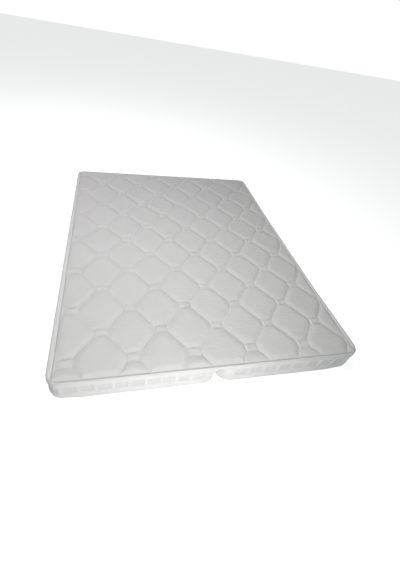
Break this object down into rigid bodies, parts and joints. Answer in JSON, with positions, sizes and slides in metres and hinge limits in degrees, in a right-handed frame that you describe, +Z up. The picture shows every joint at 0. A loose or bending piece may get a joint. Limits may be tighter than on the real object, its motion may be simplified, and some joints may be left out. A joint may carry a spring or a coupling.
{
  "type": "folding mattress",
  "caption": "Double foam mattress in two long halves that fold top to top on their shared quilted cover, with a puffed side band and a zip in the back of each half.",
  "frame": {"origin": "on the floor under the middle of the mattress, on the fold line", "axes": "+Z up, X across the width with the hinged right half at +X, Y along the length with the front short side at -Y"},
  "size_m": [1.6, 2, 0.16],
  "materials": {
    "foam": "matte",
    "soft_foam": "matte",
    "quilt": "matte",
    "band": "matte",
    "wall": "matte",
    "underside": "matte",
    "piping": "matte",
    "tape": "matte",
    "coil": "satin",
    "zip_metal": "satin"
  },
  "bodies": {
    "left_half": {"left_foam_core": "foam", "left_comfort_layer": "soft_foam", "left_top_panel": "quilt", "left_border": "band", "left_inner_wall": "wall", "left_bottom_panel": "underside", "left_top_piping": "piping", "left_zip_tape": "tape", "left_zip_coil": "coil"},
    "right_half": {"right_foam_core": "foam", "right_comfort_layer": "soft_foam", "right_top_panel": "quilt", "right_border": "band", "right_inner_wall": "wall", "right_bottom_panel": "underside", "right_top_piping": "piping", "right_zip_tape": "tape", "right_zip_coil": "coil"},
    "left_slider": {"left_zip_slider": "zip_metal"},
    "left_puller": {"left_zip_puller": "zip_metal"},
    "right_slider": {"right_zip_slider": "zip_metal"},
    "right_puller": {"right_zip_puller": "zip_metal"}
  },
  "joints": [
    {"name": "fold", "type": "hinge", "parent": "left_half", "child": "right_half", "pos_m": [0, 0, 0.1605], "axis": [0, -1, 0], "range_deg": [0, 180]},
    {"name": "left_zip_slide", "type": "slide", "parent": "left_half", "child": "left_slider", "axis": [-1, 0, 0], "range_m": [0, 0.575]},
    {"name": "left_puller_swing", "type": "hinge", "parent": "left_slider", "child": "left_puller", "pos_m": [-0.1123, 0.9971, 0.027], "axis": [0, 0, -1], "range_deg": [0, 180]},
    {"name": "right_zip_slide", "type": "slide", "parent": "right_half", "child": "right_slider", "axis": [1, 0, 0], "range_m": [0, 0.575]},
    {"name": "right_puller_swing", "type": "hinge", "parent": "right_slider", "child": "right_puller", "pos_m": [0.1123, 0.9971, 0.027], "axis": [0, 0, 1], "range_deg": [0, 180]}
  ]
}
